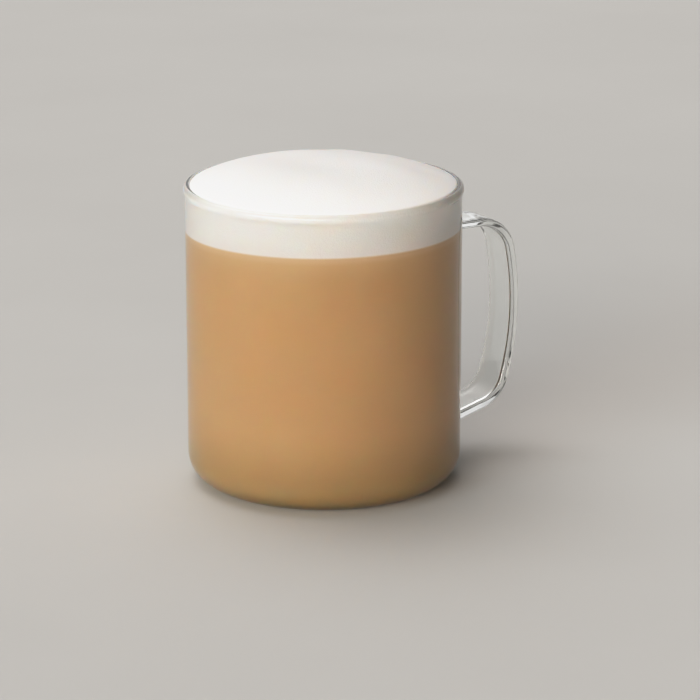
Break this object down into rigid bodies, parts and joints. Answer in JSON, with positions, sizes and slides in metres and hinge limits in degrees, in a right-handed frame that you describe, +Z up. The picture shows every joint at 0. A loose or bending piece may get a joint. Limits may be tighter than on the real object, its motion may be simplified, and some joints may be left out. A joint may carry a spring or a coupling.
{
  "type": "glass mug of masala chai",
  "caption": "Straight clear glass mug with a flat strap handle, filled with milky spiced tea under a domed cap of white milk foam.",
  "frame": {"origin": "middle of the mug's flat base, on the cup's axis", "axes": "+Z up along the cup's axis, +X towards the middle of the handle's grip"},
  "size_m": [0.1149, 0.089, 0.1032],
  "materials": {
    "clear_glass": "clear blown glass, fire polished",
    "milky_tea": "opaque milky liquid",
    "milk_foam": "fine matte milk foam"
  },
  "bodies": {
    "root": {"glass_mug": "clear_glass", "milky_tea": "milky_tea", "milk_foam": "milk_foam"}
  },
  "joints": []
}
